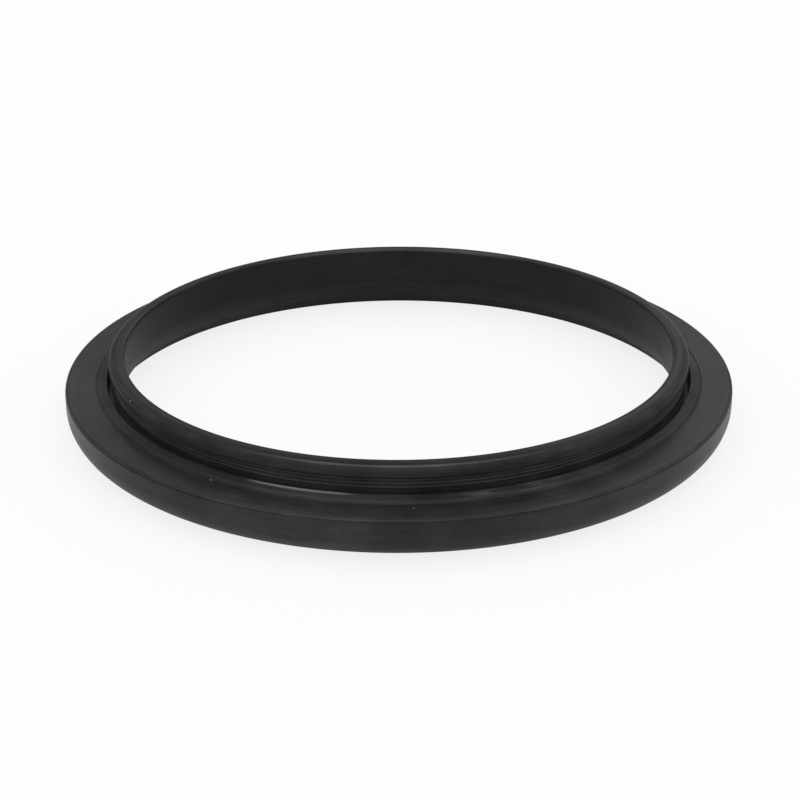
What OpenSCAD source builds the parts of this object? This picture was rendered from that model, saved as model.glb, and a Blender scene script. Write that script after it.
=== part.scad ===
// Moulded rubber gasket for a pump: a flange ring with a raised collar round its bore.
// Sizes are in millimetres. The ring stands on its base at z = 0, with its axis on Z.

/* [Bore] */
// Diameter of the bore
bore_d = 123; // [90:0.5:180]
// Width and height of the lead-in at the bottom of the bore
lead_in = 5.9; // [2.5:0.1:6.4]
// Radius that blends the lead-in into the bore
lead_in_blend = 7.5; // [1:0.5:9]
// Rounding of the edge where the lead-in meets the base
lead_in_edge = 0.5; // [0.2:0.1:0.8]

/* [Flange] */
// Width of the flange, from the bore to its outer rim
flange_w = 13.5; // [12:0.25:24]
// Height of the flat band on top of the flange, above the base
flange_h = 9.5; // [8.5:0.1:10.5]
// Rounding of the flange's lower outer corner
foot_radius = 5.8; // [1:0.1:6.2]
// Rounding of the flange's upper outer edge
rim_radius = 0.9; // [0.3:0.1:1.5]

/* [Collar] */
// Height of the whole ring, from the base to the top of the lip
total_h = 16.4; // [15.8:0.1:20]
// Thickness of the collar's wall, from the bore to its outer face
collar_wall = 2.7; // [2.4:0.1:3]
// Height of the lip at the top of the collar
lip_h = 3; // [2.4:0.1:3.4]
// How far the lip's lower edge stands out past the collar's wall
lip_flare = 0.9; // [0.6:0.1:1.2]
// How far the lip's outer face leans in towards its top
lip_taper = 0.7; // [0.1:0.1:1]
// Height over which the lip's underside runs out from the wall
lip_run_out = 0.2; // [0.1:0.1:0.6]
// Rounding of the lip's outer edges
lip_outer_radius = 0.4; // [0.2:0.05:0.5]
// Rounding of the lip's edge at the bore
lip_inner_radius = 0.8; // [0.2:0.1:1.1]

/* [Sealing ribs] */
// Number of fine ribs round the collar's wall
rib_count = 3; // [1:1:4]
// Distance from one rib to the next
rib_pitch = 0.8; // [0.7:0.05:0.9]
// Radius of a rib's round section
rib_radius = 0.28; // [0.15:0.01:0.32]
// Distance from the lip's underside down to the middle of the top rib
rib_drop = 0.4; // [0.4:0.05:0.8]

/* [Groove and ridge] */
// Width of the deep groove round the foot of the collar
groove_w = 1.4; // [1.2:0.1:1.8]
// Depth of the groove, from the flat band down to its floor
groove_depth = 2.6; // [1:0.1:3.2]
// Width of the sealing ridge beside the groove, with its sloping side
ridge_w = 2.55; // [2.2:0.05:3.5]
// Height of the ridge's crest above the flat band
ridge_rise = 1.1; // [0.8:0.05:1.4]
// Fall of the ridge's top from its crest to its shoulder
ridge_fall = 0.8; // [0.3:0.05:1]
// Width of the ridge's sloping side, from its shoulder to the crease
ridge_side_w = 0.35; // [0.25:0.05:0.6]
// Depth of the crease between the ridge and the flat band
crease_depth = 0.25; // [0.15:0.05:0.5]
// Width of the crease's outer side
crease_side_w = 0.2; // [0.15:0.05:0.3]

/* [Edges] */
// Rounding of the edges of the groove and the crease
fine_radius = 0.2; // [0.1:0.05:0.25]
// Rounding of the ridge's shoulder
shoulder_radius = 0.4; // [0.2:0.1:0.6]

/* [Hidden] */
$fn = 180;
bore_r = bore_d / 2;
flange_r = bore_r + flange_w;
wall_r = bore_r + collar_wall;
lip_foot_r = wall_r + lip_flare;
lip_top_r = lip_foot_r - lip_taper;
lip_base_z = total_h - lip_h;
crest_r = wall_r + groove_w;
band_r = crest_r + ridge_w;
crease_r = band_r - crease_side_w;
shoulder_r = crease_r - ridge_side_w;
crest_z = flange_h + ridge_rise;
groove_floor_z = flange_h - groove_depth;
// Each lower corner of the groove takes up this share of its width
groove_corner_share = 0.42;
groove_corner_radius = groove_corner_share * groove_w;
// Tight inner corners have this share of the fine rounding
tight_share = 0.4;
tight_radius = tight_share * fine_radius;
// The space that holds a rounding reaches past its sharp corner by this share of the radius
overdraw_share = 0.1;
// The foot's rounding leaves a flat face of this width to stand on
foot_flat = 0.8;
foot_round = min(foot_radius, flange_w - lead_in - lead_in_edge - foot_flat);

// Outline of the section. Each corner is a distance from the axis, a height and a rounding,
// and the list runs round the section with the solid on its left.
outline = [
    [bore_r + lead_in, 0, lead_in_edge],
    [flange_r, 0, foot_round],
    [flange_r, flange_h, rim_radius],
    [band_r, flange_h, fine_radius],
    [crease_r, flange_h - crease_depth, tight_radius],
    [shoulder_r, crest_z - ridge_fall, shoulder_radius],
    [crest_r, crest_z, fine_radius],
    [crest_r, groove_floor_z, groove_corner_radius],
    [wall_r, groove_floor_z, groove_corner_radius],
    [wall_r, lip_base_z, tight_radius],
    [lip_foot_r, lip_base_z + lip_run_out, lip_outer_radius],
    [lip_top_r, total_h, lip_outer_radius],
    [bore_r, total_h, lip_inner_radius],
    [bore_r, lead_in, lead_in_blend]
];

// Corner of the outline at a place in the list, counted round past either end
function corner_at(i) = outline[(i + len(outline)) % len(outline)];

// Sharp point of that corner
function point_at(i) = [corner_at(i)[0], corner_at(i)[1]];

// Direction from one point to another, with a length of one
function toward(from, to) = (to - from) / norm(to - from);

// Directions from a corner to the ones before and after it
function to_last(i) = toward(point_at(i), point_at(i - 1));
function to_next(i) = toward(point_at(i), point_at(i + 1));

// Half of the angle between a corner's two sides
function half_angle(i) = acos(to_last(i) * to_next(i)) / 2;

// Distance from a sharp corner to each end of its rounding
function reach(i) = corner_at(i)[2] / tan(half_angle(i));

// The two ends of a corner's rounding, in the order of the outline
function rounding_ends(i) = [point_at(i) + to_last(i) * reach(i), point_at(i) + to_next(i) * reach(i)];

// Whether the outline turns left at a corner, so that the corner stands out
function stands_out(i) = to_last(i)[0] * to_next(i)[1] < to_last(i)[1] * to_next(i)[0];

// Part of the rounding's circle that lies past the straight line between its ends
module rounding(i) {
    radius = corner_at(i)[2];
    bisector = to_last(i) + to_next(i);
    ends = rounding_ends(i);
    intersection() {
        polygon([ends[0], point_at(i) - bisector * radius * overdraw_share, ends[1]]);
        translate(point_at(i) + toward([0, 0], bisector) * radius / sin(half_angle(i))) circle(r = radius);
    }
}

// All roundings of the corners that stand out, or all of those that turn in
module roundings(standing_out) {
    for (i = [0 : len(outline) - 1]) if (stands_out(i) == standing_out) rounding(i);
}

// Round sections of the fine ribs, half sunk in the collar's wall
module rib_sections() {
    for (i = [0 : rib_count - 1])
        translate([wall_r, lip_base_z - rib_drop - i * rib_pitch]) circle(r = rib_radius);
}

// Section of the ring, in the plane of its radius and height
module ring_section() {
    difference() {
        union() {
            polygon([for (i = [0 : len(outline) - 1]) each rounding_ends(i)]);
            roundings(true);
            rib_sections();
        }
        roundings(false);
    }
}

// The ring, moulded in one piece from black rubber
module gasket_ring() {
    color([0.13, 0.13, 0.135]) rotate_extrude() ring_section();
}

gasket_ring();
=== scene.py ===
"""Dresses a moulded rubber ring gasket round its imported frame, and sets it in a plain studio.

The ring is one piece, swept from its section by a Geometry Nodes tree. Its sizes repeat those of the
frame, apart from the bend of the lip's top, and its rubber is a procedural material. Everything is in
metres, and angles are in degrees where they are named values.
"""

import logging
import math
from dataclasses import dataclass, field
from enum import Enum, auto

import bmesh
import bpy
from mathutils import Matrix, Vector


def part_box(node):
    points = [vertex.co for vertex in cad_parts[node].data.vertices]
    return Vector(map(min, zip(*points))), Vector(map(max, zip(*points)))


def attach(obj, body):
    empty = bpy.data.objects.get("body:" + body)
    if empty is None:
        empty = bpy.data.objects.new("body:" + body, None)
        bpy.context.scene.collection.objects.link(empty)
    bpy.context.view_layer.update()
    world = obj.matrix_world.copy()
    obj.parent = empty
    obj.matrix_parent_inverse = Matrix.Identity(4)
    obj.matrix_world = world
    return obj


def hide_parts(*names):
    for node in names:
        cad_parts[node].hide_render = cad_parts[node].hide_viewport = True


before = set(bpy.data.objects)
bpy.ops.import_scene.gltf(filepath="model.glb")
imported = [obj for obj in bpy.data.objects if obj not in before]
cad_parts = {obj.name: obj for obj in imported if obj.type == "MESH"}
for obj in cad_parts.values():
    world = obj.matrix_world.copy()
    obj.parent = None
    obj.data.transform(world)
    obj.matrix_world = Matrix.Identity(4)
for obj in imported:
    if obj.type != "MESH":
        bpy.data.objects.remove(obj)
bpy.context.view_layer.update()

log = logging.getLogger("gasket")
MM = 0.001
NODE_NAME = "gasket_ring"
COLUMN_WIDTH = 180

Point = tuple[float, float]
Socket = bpy.types.NodeSocket


@dataclass(frozen=True)
class Fade:
    """A smooth change of a result between two values of what it follows."""

    start: float
    end: float
    before: float = 0.0
    after: float = 1.0

    @classmethod
    def by_elevation(cls, start: float, end: float, before: float, after: float) -> "Fade":
        """Makes a fade over the upward part of a direction, given by its elevations in degrees."""
        return cls(math.sin(math.radians(start)), math.sin(math.radians(end)), before, after)


@dataclass(frozen=True)
class Pattern:
    """A noise: its features for each unit, its octaves, its seed and the weight of finer octaves."""

    scale: float
    detail: float
    seed: float
    roughness: float


@dataclass(frozen=True)
class Unevenness:
    """A noise that makes the rubber paler and darker by a share, over the middle of its range."""

    pattern: Pattern
    low: float
    high: float
    share: float


@dataclass(frozen=True)
class Patch:
    """A stretch of the ring, in degrees: its middle, half its width, and half of its full part."""

    middle: float
    half_width: float
    half_core: float


class NodeBoard:
    """Adds nodes to one node tree and joins their sockets."""

    def __init__(self, tree: bpy.types.NodeTree) -> None:
        """Keeps the tree that the nodes go into."""
        self.tree = tree
        self.column = 0

    def add(self, kind: str, **settings: object) -> bpy.types.Node:
        """Adds a node and sets its properties.

        Args:
            kind: The node's type name.
            **settings: Properties of the node, by name.

        Returns:
            The new node.
        """
        node = self.tree.nodes.new(kind)
        node.location = (self.column * COLUMN_WIDTH, 0)
        self.column += 1
        for name, value in settings.items():
            setattr(node, name, value)
        return node

    def feed(self, target: Socket, source: object) -> None:
        """Gives an input either a link from another socket or a plain value.

        Args:
            target: The input to set.
            source: A socket to link from, or the value to store.
        """
        if isinstance(source, Socket):
            self.tree.links.new(source, target)
        else:
            target.default_value = source

    def maths(self, operation: str, *values: object) -> Socket:
        """Adds a Math node.

        Args:
            operation: The node's operation.
            *values: Its inputs in order, each a socket or a number.

        Returns:
            The node's result.
        """
        node = self.add("ShaderNodeMath", operation=operation)
        for socket, value in zip(node.inputs, values):
            self.feed(socket, value)
        return node.outputs[0]

    def product(self, first: object, *others: object) -> Socket:
        """Multiplies sockets and numbers, one after the other.

        Args:
            first: The first factor.
            *others: The factors that follow.

        Returns:
            The product.
        """
        for other in others:
            first = self.maths("MULTIPLY", first, other)
        return first

    def vector(self, operation: str, *values: object) -> bpy.types.Node:
        """Adds a Vector Math node.

        Args:
            operation: The node's operation.
            *values: Its inputs in order, each a socket, a vector or, for the scale, a number.

        Returns:
            The node.
        """
        node = self.add("ShaderNodeVectorMath", operation=operation)
        sockets = [s for s in node.inputs if s.enabled]
        for socket, value in zip(sockets, values):
            self.feed(socket, value)
        return node

    def split(self, vector: Socket) -> bpy.types.NodeOutputs:
        """Splits a vector into its parts.

        Args:
            vector: The vector to split.

        Returns:
            The outputs, named X, Y and Z.
        """
        node = self.add("ShaderNodeSeparateXYZ")
        self.feed(node.inputs[0], vector)
        return node.outputs

    def ramp(self, value: Socket, low: float, high: float,
             to_low: float = 0.0, to_high: float = 1.0) -> Socket:
        """Maps a range of a value smoothly to another range.

        Args:
            value: The socket to map.
            low: The value that gives to_low.
            high: The value that gives to_high.
            to_low: The result at the low end.
            to_high: The result at the high end.

        Returns:
            The mapped value.
        """
        node = self.add("ShaderNodeMapRange", interpolation_type="SMOOTHSTEP")
        self.feed(node.inputs["Value"], value)
        node.inputs["From Min"].default_value = low
        node.inputs["From Max"].default_value = high
        node.inputs["To Min"].default_value = to_low
        node.inputs["To Max"].default_value = to_high
        return node.outputs[0]

    def fade(self, value: Socket, fade: Fade) -> Socket:
        """Maps a value by a fade and gives the result."""
        return self.ramp(value, fade.start, fade.end, fade.before, fade.after)

    def noise(self, vector: Socket, pattern: Pattern) -> Socket:
        """Adds a four-dimensional noise, whose fourth coordinate is its seed.

        Args:
            vector: Where the noise is read.
            pattern: The noise's settings.

        Returns:
            The noise, from 0 to 1.
        """
        node = self.add("ShaderNodeTexNoise", noise_dimensions="4D")
        self.feed(node.inputs["Vector"], vector)
        node.inputs["W"].default_value = pattern.seed
        node.inputs["Scale"].default_value = pattern.scale
        node.inputs["Detail"].default_value = pattern.detail
        node.inputs["Roughness"].default_value = pattern.roughness
        return node.outputs[0]

    def mix_shaders(self, share: Socket, first: Socket, second: Socket) -> Socket:
        """Mixes two shaders.

        Args:
            share: The share of the second shader.
            first: The shader at a share of 0.
            second: The shader at a share of 1.

        Returns:
            The mixed shader.
        """
        node = self.add("ShaderNodeMixShader")
        for socket, source in zip(node.inputs, (share, first, second)):
            self.feed(socket, source)
        return node.outputs[0]


class Bend(Enum):
    """The section's corners, with the solid on the left of the way round."""

    LEAD_IN_EDGE = auto()
    FOOT = auto()
    RIM = auto()
    BAND_EDGE = auto()
    CREASE = auto()
    SHOULDER = auto()
    CREST = auto()
    GROOVE_SIDE = auto()
    WALL_FOOT = auto()
    LIP_ROOT = auto()
    LIP_FOOT = auto()
    LIP_TOP = auto()
    BORE_EDGE = auto()
    LEAD_IN_END = auto()


@dataclass(frozen=True)
class Corner:
    """A corner of the section: its distance from the axis, its height and its rounding."""

    radius: float
    height: float
    rounding: float = 0.0

    @property
    def point(self) -> Vector:
        """The sharp corner as a vector."""
        return Vector((self.radius, self.height))


@dataclass
class SectionSizes:
    """Sizes of the ring's section, as the frame's solid has them below the top of the lip."""

    flange_radius: float
    total_height: float
    flange_height: float = 9.5 * MM
    foot_rounding: float = 5.8 * MM
    rim_rounding: float = 0.9 * MM
    bore_radius: float = 61.5 * MM
    lead_in: float = 5.9 * MM
    lead_in_blend: float = 7.5 * MM
    lead_in_edge: float = 0.5 * MM
    collar_wall: float = 2.7 * MM
    lip_height: float = 3 * MM
    lip_flare: float = 0.9 * MM
    lip_run_out: float = 0.2 * MM
    lip_outer_rounding: float = 0.4 * MM
    lip_inner_rounding: float = 0.8 * MM
    rib_count: int = 3
    rib_pitch: float = 0.8 * MM
    rib_radius: float = 0.28 * MM
    rib_drop: float = 0.4 * MM
    groove_width: float = 1.4 * MM
    groove_depth: float = 2.6 * MM
    groove_corner_share: float = 0.42
    ridge_width: float = 2.55 * MM
    ridge_rise: float = 1.1 * MM
    ridge_fall: float = 0.8 * MM
    ridge_side_width: float = 0.35 * MM
    crease_depth: float = 0.25 * MM
    crease_side_width: float = 0.2 * MM
    fine_rounding: float = 0.2 * MM
    tight_share: float = 0.4
    shoulder_rounding: float = 0.4 * MM

    @property
    def wall_radius(self) -> float:
        """Radius of the collar's outer face."""
        return self.bore_radius + self.collar_wall

    @property
    def crest_radius(self) -> float:
        """Radius of the ridge's crest, where the groove ends."""
        return self.wall_radius + self.groove_width

    @property
    def band_radius(self) -> float:
        """Radius where the flat band begins."""
        return self.crest_radius + self.ridge_width

    @property
    def crest_height(self) -> float:
        """Height of the ridge's crest."""
        return self.flange_height + self.ridge_rise

    @property
    def groove_floor(self) -> float:
        """Height of the groove's floor."""
        return self.flange_height - self.groove_depth

    @property
    def lip_base(self) -> float:
        """Height of the lip's underside at the wall."""
        return self.total_height - self.lip_height

    def corners(self) -> dict[Bend, Corner]:
        """Places the section's corners, in order from the inner edge of the base.

        Returns:
            The corners by name. The top of the lip has no rounding, because a dome takes its place.
        """
        crease = self.band_radius - self.crease_side_width
        shoulder = crease - self.ridge_side_width
        deep = self.groove_corner_share * self.groove_width
        tight = self.tight_share * self.fine_rounding
        lip_foot = self.wall_radius + self.lip_flare
        return {
            Bend.LEAD_IN_EDGE: Corner(self.bore_radius + self.lead_in, 0.0, self.lead_in_edge),
            Bend.FOOT: Corner(self.flange_radius, 0.0, self.foot_rounding),
            Bend.RIM: Corner(self.flange_radius, self.flange_height, self.rim_rounding),
            Bend.BAND_EDGE: Corner(self.band_radius, self.flange_height, self.fine_rounding),
            Bend.CREASE: Corner(crease, self.flange_height - self.crease_depth, tight),
            Bend.SHOULDER: Corner(shoulder, self.crest_height - self.ridge_fall, self.shoulder_rounding),
            Bend.CREST: Corner(self.crest_radius, self.crest_height, self.fine_rounding),
            Bend.GROOVE_SIDE: Corner(self.crest_radius, self.groove_floor, deep),
            Bend.WALL_FOOT: Corner(self.wall_radius, self.groove_floor, deep),
            Bend.LIP_ROOT: Corner(self.wall_radius, self.lip_base, tight),
            Bend.LIP_FOOT: Corner(lip_foot, self.lip_base + self.lip_run_out, self.lip_outer_rounding),
            Bend.LIP_TOP: Corner(lip_foot, self.total_height),
            Bend.BORE_EDGE: Corner(self.bore_radius, self.total_height, self.lip_inner_rounding),
            Bend.LEAD_IN_END: Corner(self.bore_radius, self.lead_in, self.lead_in_blend),
        }


@dataclass
class SectionOutline:
    """Turns the section's corners into a closed run of points with round corners and ribs."""

    sizes: SectionSizes
    point_spacing: float = 0.42 * MM
    fewest_steps: int = 6
    rib_steps: int = 8
    edge_hold: float = 0.08 * MM
    long_run_in_holds: int = 6
    dome_drop: float = 1.5 * MM
    dome_steps: int = 16

    def arc(self, before: Corner, corner: Corner, after: Corner) -> list[Point]:
        """Rounds one corner.

        Args:
            before: The corner before it on the way round.
            corner: The corner to round.
            after: The corner after it.

        Returns:
            Points along the arc, from its start to its end.
        """
        back = (before.point - corner.point).normalized()
        ahead = (after.point - corner.point).normalized()
        half_angle = back.angle(ahead) / 2
        centre = corner.point + (back + ahead).normalized() * (corner.rounding / math.sin(half_angle))
        reach = corner.rounding / math.tan(half_angle)
        start = corner.point + back * reach - centre
        end = corner.point + ahead * reach - centre
        turn = start.angle_signed(end)
        steps = max(self.fewest_steps, math.ceil(abs(turn) * corner.rounding / self.point_spacing))
        turned = (Matrix.Rotation(-turn * i / steps, 2) @ start for i in range(steps + 1))
        return [tuple(centre + offset) for offset in turned]

    def ribs(self) -> list[Point]:
        """Runs up the collar's wall over its fine ribs.

        Returns:
            Points over the ribs, from the lowest to the top one.
        """
        sizes = self.sizes
        points = []
        for i in reversed(range(sizes.rib_count)):
            middle = sizes.lip_base - sizes.rib_drop - i * sizes.rib_pitch
            for step in range(self.rib_steps + 1):
                angle = math.pi * (step / self.rib_steps - 0.5)
                points.append((sizes.wall_radius + sizes.rib_radius * math.cos(angle),
                               middle + sizes.rib_radius * math.sin(angle)))
        return points

    def dome(self, outer: Corner, inner: Corner) -> list[Point]:
        """Draws the lip's top, which is level at the bore and bends down into its outer face.

        Args:
            outer: The sharp corner at the top of the lip's outer face.
            inner: The corner at the bore.

        Returns:
            Points from the outer face to the level part, on a quarter of an ellipse.
        """
        level = inner.radius + inner.rounding
        run = outer.radius - level
        angles = (math.pi / 2 * step / self.dome_steps for step in range(self.dome_steps))
        return [(level + run * math.cos(angle), inner.height - self.dome_drop * (1 - math.sin(angle)))
                for angle in angles]

    def held(self, points: list[Point]) -> list[Point]:
        """Adds a point just inside each end of every long straight run, so that it shades flat.

        Args:
            points: The closed run of points.

        Returns:
            The run with its holding points.
        """
        result = []
        for i, point in enumerate(points):
            result.append(point)
            start, end = Vector(point), Vector(points[(i + 1) % len(points)])
            gap = end - start
            if gap.length > self.long_run_in_holds * self.edge_hold:
                step = gap.normalized() * self.edge_hold
                result += [tuple(start + step), tuple(end - step)]
        return result

    def points(self) -> list[Point]:
        """Draws the whole section.

        Returns:
            The closed run of points, each a radius and a height.
        """
        named = self.sizes.corners()
        bends, corners = list(named), list(named.values())
        points = []
        for i, bend in enumerate(bends):
            after = corners[(i + 1) % len(corners)]
            if bend is Bend.LIP_TOP:
                points += self.dome(corners[i], after)
            else:
                points += self.arc(corners[i - 1], corners[i], after)
            if bend is Bend.WALL_FOOT:
                points += self.ribs()
        return self.held(points)


class Stretch(Enum):
    """How far round the ring an edge is painted paler."""

    ALL_ROUND = "all round"
    FRONT_AND_BACK = "front and back"
    # One painted glint, on the crest at the front left.
    ONE_GLINT = "one short rub"
    SCUFF = "one scuffed patch"


@dataclass(frozen=True)
class HighlightAndScuffEdge:
    """An edge of the section painted paler, given by its sharp corner: a painted highlight, apart from one
    scuff.
    """

    corner: Corner
    reach: float
    paleness: float
    stretch: Stretch = Stretch.ALL_ROUND


@dataclass(frozen=True)
class RingPlace:
    """Sockets that tell where on the ring a point lies."""

    place: Socket
    height: Socket
    radius: Socket
    outward: Socket

    @classmethod
    def read(cls, board: NodeBoard) -> "RingPlace":
        """Adds the nodes that find the place from Object coordinates.

        Args:
            board: The board of the material.

        Returns:
            The place, its height, its distance from the axis and the level direction away from it.
        """
        place = board.add("ShaderNodeTexCoord").outputs["Object"]
        flat = board.vector("MULTIPLY", place, (1, 1, 0)).outputs["Vector"]
        return cls(place, board.split(place)["Z"],
                   board.vector("LENGTH", flat).outputs["Value"],
                   board.vector("NORMALIZE", flat).outputs["Vector"])


@dataclass(frozen=True)
class RubberFinish:
    """Satin black moulded rubber, with painted shade in its bore, painted light in its groove, painted
    highlights along its edges and one scuff.
    """

    sizes: SectionSizes
    name: str = "satin_black_rubber"
    collar_tone: float = 0.018
    bore_shade_tone: float = 0.011
    flange_tone: float = 0.028
    skin: float = 0.3 * MM
    bore_skin_share: float = 0.2
    groove_lift_tone: float = 0.08
    wall_lift_tone: float = 0.014
    groove_lift_fade: float = 0.5 * MM
    rib_highlight_tone: float = 0.02
    rib_unlit_share: float = 0.3
    rib_lit_share: float = 0.9
    rib_end_share: float = 1.2
    pale_core_share: float = 0.4
    ridge_top_inset: float = 1.1 * MM
    ridge_top_fall: float = 0.3 * MM
    lip_edge_outset: float = 0.1 * MM
    lip_edge_drop: float = 0.42 * MM
    front_and_back: Fade = Fade(0.86, 0.98)
    # Where the crest carries its one painted glint.
    glint: Patch = Patch(-107.8, 10.8, 6.0)
    scuff: Patch = Patch(-70.0, 18.0, 8.0)
    scuff_marks: Fade = Fade(0.45, 0.7)
    mottle: Unevenness = Unevenness(Pattern(110.0, 5.0, 3.0, 0.6), 0.3, 0.7, 0.22)
    blotch: Unevenness = Unevenness(Pattern(24.0, 2.0, 1.0, 0.5), 0.35, 0.65, 0.2)
    marks: Unevenness = Unevenness(Pattern(1.0, 3.0, 0.0, 0.6), 0.3, 0.7, 0.16)
    marks_round_ring: float = 6.5
    marks_across: float = 900.0
    speck_cells: float = 75.0
    speck: Fade = Fade(0.01, 0.024, 0.2, 0.0)
    grain: Pattern = Pattern(2600.0, 3.0, 11.0, 0.6)
    grain_strength: float = 0.25
    grain_depth: float = 0.05 * MM
    roughness: float = 0.32
    roughness_swing: float = 0.08
    specular: float = 0.2

    def highlights_and_scuff(self) -> list[HighlightAndScuffEdge]:
        """Lists the edges that are painted paler.

        Returns:
            Painted highlights on the rim, the fine step, the ridge with its one glint, and both edges of
            the lip, and the ridge's scuff.
        """
        sizes = self.sizes
        corners = sizes.corners()
        crest, bore_edge = corners[Bend.CREST], corners[Bend.BORE_EDGE]
        ridge_top = Corner(sizes.crest_radius + self.ridge_top_inset, crest.height - self.ridge_top_fall)
        lip_edge = Corner(sizes.wall_radius + self.lip_edge_outset, sizes.total_height - self.lip_edge_drop)
        return [
            # All but the scuff are painted highlights.
            HighlightAndScuffEdge(corners[Bend.RIM], reach=0.55 * MM, paleness=0.058),
            HighlightAndScuffEdge(corners[Bend.CREASE], reach=0.45 * MM, paleness=0.018),
            HighlightAndScuffEdge(corners[Bend.SHOULDER], reach=0.35 * MM, paleness=0.012),
            HighlightAndScuffEdge(ridge_top, reach=1.7 * MM, paleness=0.008, stretch=Stretch.FRONT_AND_BACK),
            HighlightAndScuffEdge(crest, reach=0.35 * MM, paleness=0.006),
            HighlightAndScuffEdge(crest, reach=1.05 * MM, paleness=0.15, stretch=Stretch.ONE_GLINT),
            HighlightAndScuffEdge(bore_edge, reach=0.9 * MM, paleness=0.016),
            HighlightAndScuffEdge(bore_edge, reach=0.9 * MM, paleness=0.04, stretch=Stretch.FRONT_AND_BACK),
            HighlightAndScuffEdge(ridge_top, reach=1.3 * MM, paleness=0.05, stretch=Stretch.SCUFF),
            HighlightAndScuffEdge(lip_edge, reach=0.4 * MM, paleness=0.048, stretch=Stretch.FRONT_AND_BACK),
        ]

    def within(self, board: NodeBoard, spot: RingPlace, patch: Patch) -> Socket:
        """Masks one stretch of the ring.

        Args:
            board: The board of the material.
            spot: The place on the ring.
            patch: The stretch.

        Returns:
            The mask, 1 in the stretch's full part.
        """
        turn = math.radians(patch.middle)
        middle = (math.cos(turn), math.sin(turn), 0)
        facing = board.vector("DOT_PRODUCT", spot.outward, middle).outputs["Value"]
        return board.ramp(facing, math.cos(math.radians(patch.half_width)),
                          math.cos(math.radians(patch.half_core)))

    def stretches(self, board: NodeBoard, spot: RingPlace, marks: Socket) -> dict[Stretch, Socket]:
        """Masks the stretches that are painted paler in part only.

        Args:
            board: The board of the material.
            spot: The place on the ring.
            marks: The noise of the marks along the ring, which breaks up the scuff.

        Returns:
            The mask of each stretch that doesn't go all round.
        """
        lengthways = board.vector("DOT_PRODUCT", spot.outward, (0, 1, 0)).outputs["Value"]
        return {
            Stretch.ONE_GLINT: self.within(board, spot, self.glint),
            Stretch.SCUFF: board.product(self.within(board, spot, self.scuff),
                                         board.fade(marks, self.scuff_marks)),
            Stretch.FRONT_AND_BACK: board.fade(board.maths("ABSOLUTE", lengthways), self.front_and_back),
        }

    def edge_highlights_and_scuff(self, board: NodeBoard, spot: RingPlace, masks: dict[Stretch, Socket]) -> Socket:
        """Adds up how much paler the edges are painted, as highlights and one scuff.

        Args:
            board: The board of the material.
            spot: The place on the ring.
            masks: Mask of each stretch that doesn't go all round.

        Returns:
            The tone to add.
        """
        total = None
        for edge in self.highlights_and_scuff():
            across = board.maths("SUBTRACT", spot.radius, edge.corner.radius)
            above = board.maths("SUBTRACT", spot.height, edge.corner.height)
            squares = board.maths("ADD", board.product(across, across), board.product(above, above))
            away = board.maths("SQRT", squares)
            tone = board.ramp(away, edge.reach * self.pale_core_share, edge.reach, edge.paleness, 0.0)
            if edge.stretch in masks:
                tone = board.product(tone, masks[edge.stretch])
            total = tone if total is None else board.maths("ADD", total, tone)
        return total

    def plain_tone(self, board: NodeBoard, spot: RingPlace) -> Socket:
        """Gives the rubber its base tone: painted shade makes it darker in the bore, and it is paler on the
        flange.

        Args:
            board: The board of the material.
            spot: The place on the ring.

        Returns:
            The tone.
        """
        bore, crest = self.sizes.bore_radius, self.sizes.crest_radius
        # Painted shade: the bore is darker than the collar.
        tone = board.ramp(spot.radius, bore + self.bore_skin_share * self.skin, bore + self.skin,
                          self.bore_shade_tone, self.collar_tone)
        on_flange = board.ramp(spot.radius, crest - self.skin, crest,
                               0.0, self.flange_tone - self.collar_tone)
        return board.maths("ADD", tone, on_flange)

    def groove_light_lift(self, board: NodeBoard, spot: RingPlace) -> Socket:
        """Paints light into the shaded groove: more below the flange's height, less on the walls above it.

        Args:
            board: The board of the material.
            spot: The place on the ring.

        Returns:
            The tone to add, which is nothing below the groove's floor.
        """
        sizes = self.sizes
        # Painted light that lifts the groove's shade.
        in_groove = board.product(
            board.ramp(spot.radius, sizes.wall_radius - self.skin, sizes.wall_radius),
            board.ramp(spot.radius, sizes.crest_radius, sizes.crest_radius + self.skin, 1.0, 0.0))
        lifted = board.ramp(spot.height, sizes.flange_height - self.groove_lift_fade,
                             sizes.flange_height + self.groove_lift_fade, self.groove_lift_tone, self.wall_lift_tone)
        above_floor = board.maths("GREATER_THAN", spot.height, sizes.groove_floor - self.skin)
        return board.product(in_groove, lifted, above_floor)

    def rib_highlights(self, board: NodeBoard, spot: RingPlace) -> Socket:
        """Paints highlights on the tops of the fine ribs.

        Args:
            board: The board of the material.
            spot: The place on the ring.

        Returns:
            The tone to add.
        """
        sizes = self.sizes
        unlit, highlit, end = (sizes.wall_radius + share * sizes.rib_radius for share in
                            (self.rib_unlit_share, self.rib_lit_share, self.rib_end_share))
        # Painted highlights on the rib crests.
        on_rib = board.product(board.ramp(spot.radius, unlit, highlit, 0.0, self.rib_highlight_tone),
                               board.maths("LESS_THAN", spot.radius, end))
        on_wall = board.product(board.maths("LESS_THAN", spot.height, sizes.lip_base),
                                board.maths("GREATER_THAN", spot.height, sizes.crest_height))
        return board.product(on_rib, on_wall)

    def marks_along(self, board: NodeBoard, spot: RingPlace) -> Socket:
        """Draws a noise that is stretched along the ring, with the height in place of its seed.

        Args:
            board: The board of the material.
            spot: The place on the ring.

        Returns:
            The noise, from 0 to 1.
        """
        lengths = board.add("ShaderNodeCombineXYZ")
        board.feed(lengths.inputs["Z"], board.product(spot.radius, self.marks_across))
        around = board.vector("SCALE", spot.outward)
        around.inputs["Scale"].default_value = self.marks_round_ring
        stretched = board.vector("ADD", around.outputs["Vector"], lengths.outputs[0])
        marks = board.noise(stretched.outputs["Vector"], self.marks.pattern)
        board.feed(marks.node.inputs["W"], board.product(spot.height, self.marks_across))
        return marks

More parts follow.
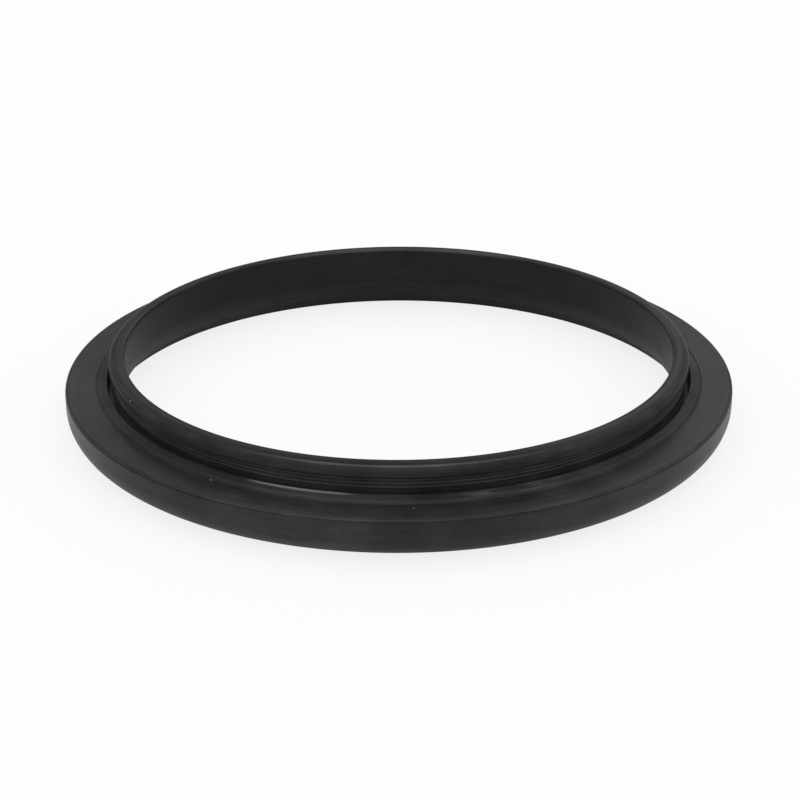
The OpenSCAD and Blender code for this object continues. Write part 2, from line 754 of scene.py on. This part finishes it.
    def varied(self, board: NodeBoard, tone: Socket, noise: Socket, kind: Unevenness) -> Socket:
        """Makes a tone uneven by a noise."""
        return board.product(tone, board.ramp(noise, kind.low, kind.high, 1 - kind.share, 1 + kind.share))

    def specks(self, board: NodeBoard, spot: RingPlace) -> Socket:
        """Scatters fine pale specks.

        Args:
            board: The board of the material.
            spot: The place on the ring.

        Returns:
            The tone to add.
        """
        cells = board.add("ShaderNodeTexVoronoi", feature="F1")
        board.feed(cells.inputs["Vector"], spot.place)
        cells.inputs["Scale"].default_value = self.speck_cells
        return board.fade(cells.outputs["Distance"], self.speck)

    def grained(self, board: NodeBoard, spot: RingPlace) -> Socket:
        """Roughens the surface with a fine grain.

        Args:
            board: The board of the material.
            spot: The place on the ring.

        Returns:
            The grained normal.
        """
        bump = board.add("ShaderNodeBump")
        bump.inputs["Strength"].default_value = self.grain_strength
        bump.inputs["Distance"].default_value = self.grain_depth
        board.feed(bump.inputs["Height"], board.noise(spot.place, self.grain))
        return bump.outputs[0]

    def build(self) -> bpy.types.Material:
        """Builds the material.

        Returns:
            The rubber material.
        """
        material = bpy.data.materials.new(self.name)
        material.use_nodes = True
        material.node_tree.nodes.clear()
        board = NodeBoard(material.node_tree)
        spot = RingPlace.read(board)
        mottle = board.noise(spot.place, self.mottle.pattern)
        blotch = board.noise(spot.place, self.blotch.pattern)
        marks = self.marks_along(board, spot)

        tone = self.plain_tone(board, spot)
        # Painted highlights along the edges, with one scuff.
        highlit = self.edge_highlights_and_scuff(board, spot, self.stretches(board, spot, marks))
        for more in (self.groove_light_lift(board, spot), highlit, self.rib_highlights(board, spot)):
            tone = board.maths("ADD", tone, more)
        for noise, kind in ((mottle, self.mottle), (blotch, self.blotch), (marks, self.marks)):
            tone = self.varied(board, tone, noise, kind)
        tone = board.maths("ADD", tone, self.specks(board, spot))

        shader = board.add("ShaderNodeBsdfPrincipled")
        board.feed(shader.inputs["Base Color"], tone)
        board.feed(shader.inputs["Roughness"],
                   board.ramp(mottle, self.mottle.low, self.mottle.high,
                              self.roughness, self.roughness + self.roughness_swing))
        board.feed(shader.inputs["Normal"], self.grained(board, spot))
        shader.inputs["Specular IOR Level"].default_value = self.specular
        output = board.add("ShaderNodeOutputMaterial")
        board.feed(output.inputs["Surface"], shader.outputs[0])
        return material


@dataclass
class RingSweep:
    """Geometry Nodes tree that sweeps a section round the axis."""

    segments: int = 540
    waviness: float = 0.04 * MM
    wave_scale: float = 45.0
    wave_detail: float = 1.0
    seed: float = 7.0

    def swept(self, board: NodeBoard, given: bpy.types.NodeOutputs) -> Socket:
        """Sweeps the section round the axis.

        The section is mirrored on its way to a curve, so the faces are flipped back afterwards.

        Args:
            board: The board of the tree.
            given: The tree's inputs.

        Returns:
            The swept mesh.
        """
        shift = board.add("ShaderNodeCombineXYZ")
        board.feed(shift.inputs["X"], board.product(given["Path Radius"], -1.0))
        profile = board.add("GeometryNodeTransform")
        board.feed(profile.inputs["Geometry"], given["Section"])
        board.feed(profile.inputs["Translation"], shift.outputs[0])
        profile.inputs["Scale"].default_value = (1, -1, 1)
        to_curve = board.add("GeometryNodeMeshToCurve")
        board.feed(to_curve.inputs["Mesh"], profile.outputs[0])
        path = board.add("GeometryNodeCurvePrimitiveCircle")
        board.feed(path.inputs["Resolution"], given["Segments"])
        board.feed(path.inputs["Radius"], given["Path Radius"])
        sweep = board.add("GeometryNodeCurveToMesh")
        board.feed(sweep.inputs["Curve"], path.outputs[0])
        board.feed(sweep.inputs["Profile Curve"], to_curve.outputs[0])
        turned = board.add("GeometryNodeFlipFaces")
        board.feed(turned.inputs["Mesh"], sweep.outputs[0])
        return turned.outputs[0]

    def waved(self, board: NodeBoard, given: bpy.types.NodeOutputs, mesh: Socket) -> Socket:
        """Presses the surface in by a faint, slow noise.

        Args:
            board: The board of the tree.
            given: The tree's inputs.
            mesh: The swept mesh.

        Returns:
            The uneven mesh.
        """
        swell = board.add("ShaderNodeTexNoise", noise_dimensions="4D")
        board.feed(swell.inputs["Vector"], board.add("GeometryNodeInputPosition").outputs[0])
        board.feed(swell.inputs["W"], given["Seed"])
        board.feed(swell.inputs["Scale"], given["Wave Scale"])
        swell.inputs["Detail"].default_value = self.wave_detail
        offset = board.vector("SCALE", board.add("GeometryNodeInputNormal").outputs[0])
        board.feed(offset.inputs["Scale"], board.product(swell.outputs[0], given["Waviness"], -1.0))
        moved = board.add("GeometryNodeSetPosition")
        board.feed(moved.inputs["Geometry"], mesh)
        board.feed(moved.inputs["Offset"], offset.outputs[0])
        return moved.outputs[0]

    def build_tree(self) -> bpy.types.GeometryNodeTree:
        """Builds the tree with its named inputs.

        Returns:
            The node tree.
        """
        tree = bpy.data.node_groups.new("sweep_section_round_axis", "GeometryNodeTree")
        face = tree.interface
        face.new_socket("Section", in_out="INPUT", socket_type="NodeSocketGeometry")
        for name, kind in (("Segments", "NodeSocketInt"), ("Path Radius", "NodeSocketFloat"),
                           ("Waviness", "NodeSocketFloat"), ("Wave Scale", "NodeSocketFloat"),
                           ("Seed", "NodeSocketFloat"), ("Material", "NodeSocketMaterial")):
            face.new_socket(name, in_out="INPUT", socket_type=kind)
        face.new_socket("Ring", in_out="OUTPUT", socket_type="NodeSocketGeometry")
        board = NodeBoard(tree)
        given = board.add("NodeGroupInput").outputs

        smooth = board.add("GeometryNodeSetShadeSmooth")
        board.feed(smooth.inputs["Geometry"], self.waved(board, given, self.swept(board, given)))
        real = board.add("GeometryNodeRealizeInstances")
        board.feed(real.inputs["Geometry"], smooth.outputs[0])
        dressed = board.add("GeometryNodeSetMaterial")
        board.feed(dressed.inputs["Geometry"], real.outputs[0])
        board.feed(dressed.inputs["Material"], given["Material"])
        result = board.add("NodeGroupOutput")
        board.feed(result.inputs["Ring"], dressed.outputs[0])
        return tree

    def sweep(self, points: list[Point], path_radius: float, material: bpy.types.Material,
              name: str) -> bpy.types.Object:
        """Sweeps a section and makes the result a plain mesh.

        Args:
            points: The closed section, each point a radius and a height.
            path_radius: Radius of the circle that the section follows.
            material: The material to give it.
            name: Name of the finished piece.

        Returns:
            The ring, standing at its own place.
        """
        mesh = bpy.data.meshes.new(name + "_section")
        edges = [(i, (i + 1) % len(points)) for i in range(len(points))]
        mesh.from_pydata([(radius, height, 0.0) for radius, height in points], edges, [])
        holder = bpy.data.objects.new(name + "_section", mesh)
        bpy.context.scene.collection.objects.link(holder)
        modifier = holder.modifiers.new("sweep", "NODES")
        modifier.node_group = self.build_tree()
        values = {"Segments": self.segments, "Path Radius": path_radius, "Waviness": self.waviness,
                  "Wave Scale": self.wave_scale, "Seed": self.seed, "Material": material}
        for item in modifier.node_group.interface.items_tree:
            if item.in_out == "INPUT" and item.name in values:
                modifier[item.identifier] = values[item.name]
        bpy.context.view_layer.update()
        swept = holder.evaluated_get(bpy.context.evaluated_depsgraph_get())
        ring_mesh = bpy.data.meshes.new_from_object(swept)
        ring_mesh.name = name
        bpy.data.objects.remove(holder)
        bpy.data.meshes.remove(mesh)
        ring = bpy.data.objects.new(name, ring_mesh)
        bpy.context.scene.collection.objects.link(ring)
        return ring


def face_outwards(piece: bpy.types.Object) -> None:
    """Turns a closed mesh right side out.

    Args:
        piece: The object whose mesh is checked and turned if it has to be.
    """
    shell = bmesh.new()
    shell.from_mesh(piece.data)
    if shell.calc_volume(signed=True) < 0:
        bmesh.ops.reverse_faces(shell, faces=shell.faces)
        shell.to_mesh(piece.data)
    shell.free()


@dataclass
class GasketRing:
    """The moulded ring, in place of the frame's plain solid."""

    sweep: RingSweep = field(default_factory=RingSweep)

    def sizes(self) -> SectionSizes:
        """Takes the overall sizes from the frame."""
        low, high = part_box(NODE_NAME)
        return SectionSizes(flange_radius=(high.x - low.x) / 2, total_height=high.z - low.z)

    def build(self) -> bpy.types.Object:
        """Builds the ring and puts it on its body.

        Returns:
            The finished ring.
        """
        sizes = self.sizes()
        points = SectionOutline(sizes).points()
        ring = self.sweep.sweep(points, sizes.band_radius, RubberFinish(sizes).build(), "ring_of_rubber")
        face_outwards(ring)
        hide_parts(NODE_NAME)
        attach(ring, "root")
        return ring


@dataclass
class Studio:
    """Pale floor, soft lights and the camera."""

    camera_distance: float = 0.4745
    camera_elevation: float = 24.089
    camera_roll: float = -0.192
    lens: float = 93.319
    sensor_width: float = 36.0
    shift_right: float = 0.00139
    shift_up: float = 0.00913
    floor_radius: float = 3.0
    floor_segments: int = 96
    floor_drop: float = 0.02 * MM
    floor_white: float = 0.93
    shadow_lift: float = 0.82
    loss_outside: Fade = Fade(0.084, 0.106, 0.0, 0.55)
    loss_inside: Fade = Fade(0.056, 0.064, 0.12, 0.0)
    mirrored_lift: Fade = Fade(0.068, 0.075, 0.0, 0.3)
    air_light: float = 0.8
    sky: Fade = Fade.by_elevation(14.0, 32.0, 0.1, 0.95)
    horizon: Fade = Fade.by_elevation(2.0, 11.0, 0.45, 0.0)
    left_to_right: Fade = Fade(-0.35, 0.35, 0.76, 1.24)
    zenith: Fade = Fade(0.52, 0.8, 1.0, 0.5)
    middle_lane: Fade = Fade(0.02, 0.18, 0.45, 1.32)
    both_sides: Fade = Fade(0.24, 0.5, 1.0, 0.3)
    lamp_strength: float = 0.6
    lamp_spread: float = 70.0
    lamp_lean: float = 20.0

    def place_camera(self) -> None:
        """Sets the camera in front of the ring, looking down on it."""
        data = bpy.data.cameras.new("camera")
        data.lens = self.lens
        data.sensor_width = self.sensor_width
        data.shift_x = self.shift_right
        data.shift_y = self.shift_up
        camera = bpy.data.objects.new("camera", data)
        bpy.context.scene.collection.objects.link(camera)
        elevation = math.radians(self.camera_elevation)
        place = Vector((0, -math.cos(elevation), math.sin(elevation))) * self.camera_distance
        tilt = Matrix.Rotation(math.pi / 2 - elevation, 4, "X")
        roll = Matrix.Rotation(math.radians(self.camera_roll), 4, "Z")
        camera.matrix_world = Matrix.Translation(place) @ tilt @ roll
        bpy.context.scene.camera = camera

    def lay_floor(self) -> None:
        """Lays a wide pale floor under the ring, which lets a view from below through."""
        disc = bmesh.new()
        bmesh.ops.create_circle(disc, cap_ends=True, segments=self.floor_segments, radius=self.floor_radius)
        mesh = bpy.data.meshes.new("floor")
        disc.to_mesh(mesh)
        disc.free()
        mesh.transform(Matrix.Translation((0, 0, -self.floor_drop)))
        floor = bpy.data.objects.new("floor", mesh)
        bpy.context.scene.collection.objects.link(floor)
        mesh.materials.append(self.floor_material())

    def floor_material(self) -> bpy.types.Material:
        """Makes a matt white floor with light shadows, which a camera below it sees through.

        In the rubber's reflections it is dimmer inside the ring and far out, as painted shade, and glows
        outside the rim, as painted light.

        Returns:
            The floor's material.
        """
        material = bpy.data.materials.new("pale_floor")
        material.use_nodes = True
        material.node_tree.nodes.clear()
        board = NodeBoard(material.node_tree)
        ray = board.add("ShaderNodeLightPath").outputs
        place = board.add("ShaderNodeTexCoord").outputs["Object"]
        away = board.vector("LENGTH", place).outputs["Value"]
        # Painted shade, seen in reflections only.
        loss = board.maths("ADD", board.fade(away, self.loss_outside), board.fade(away, self.loss_inside))
        shown = board.maths("SUBTRACT", 1.0, board.product(loss, ray["Is Glossy Ray"]))
        paper = board.add("ShaderNodeBsdfDiffuse")
        board.feed(paper.inputs["Color"], board.product(shown, self.floor_white))
        glow = board.add("ShaderNodeEmission")
        board.feed(glow.inputs["Strength"], shown)
        seen = board.product(ray["Is Camera Ray"], self.shadow_lift)
        # Painted light, seen in reflections only.
        mirrored = board.product(ray["Is Glossy Ray"], board.fade(away, self.mirrored_lift))
        lit = board.mix_shaders(board.maths("ADD", seen, mirrored), paper.outputs[0], glow.outputs[0])
        backfacing = board.add("ShaderNodeNewGeometry").outputs["Backfacing"]
        below = board.product(ray["Is Camera Ray"], backfacing)
        clear = board.add("ShaderNodeBsdfTransparent")
        output = board.add("ShaderNodeOutputMaterial")
        board.feed(output.inputs["Surface"], board.mix_shaders(below, lit, clear.outputs[0]))
        return material

    def fill_air(self) -> None:
        """Surrounds the ring with a plain soft light, whose reflection is shaped by its direction.

        The reflection is dim low down, apart from a glow at the horizon. It is brighter on the right
        than on the left, and dimmer overhead, along the middle and far out to both sides.
        """
        world = bpy.data.worlds.new("studio_air")
        world.use_nodes = True
        board = NodeBoard(world.node_tree)
        background = world.node_tree.nodes["Background"]
        background.inputs["Color"].default_value = (1, 1, 1, 1)
        ray = board.add("ShaderNodeLightPath").outputs
        direction = board.split(board.add("ShaderNodeTexCoord").outputs["Generated"])
        up, right = direction["Z"], direction["X"]
        aside = board.maths("ABSOLUTE", right)
        risen = board.maths("MAXIMUM", board.fade(up, self.sky), board.fade(up, self.horizon))
        mirrored = board.product(risen, board.fade(right, self.left_to_right), board.fade(up, self.zenith),
                                 board.fade(aside, self.middle_lane), board.fade(aside, self.both_sides))
        plain = board.maths("MAXIMUM", ray["Is Camera Ray"], ray["Is Transmission Ray"])
        lit = board.ramp(plain, 0.0, 1.0, self.air_light, 1.0)
        strength = board.add("ShaderNodeMix", data_type="FLOAT")
        factor, unmirrored, reflected = (strength.inputs[i] for i in (0, 2, 3))
        board.feed(factor, ray["Is Glossy Ray"])
        board.feed(unmirrored, lit)
        board.feed(reflected, mirrored)
        board.feed(background.inputs["Strength"], strength.outputs[0])
        bpy.context.scene.world = world

    def hang_lamp(self) -> None:
        """Hangs a wide soft lamp over the ring, a little behind it as the camera sees it."""
        lamp = bpy.data.lights.new("overhead", "SUN")
        lamp.energy = self.lamp_strength
        lamp.angle = math.radians(self.lamp_spread)
        holder = bpy.data.objects.new("overhead", lamp)
        holder.rotation_euler = (math.radians(-self.lamp_lean), 0, 0)
        holder.visible_glossy = False
        bpy.context.scene.collection.objects.link(holder)

    def build(self) -> None:
        """Builds the whole studio."""
        bpy.context.scene.view_settings.view_transform = "Standard"
        self.lay_floor()
        self.fill_air()
        self.hang_lamp()
        self.place_camera()


def main() -> None:
    """Builds the gasket and its studio."""
    logging.basicConfig(level=logging.INFO, format="%(name)s: %(message)s")
    ring = GasketRing().build()
    ring.data.calc_loop_triangles()
    log.info("%s has %d triangles", ring.name, len(ring.data.loop_triangles))
    Studio().build()


if __name__ == "__main__":
    main()
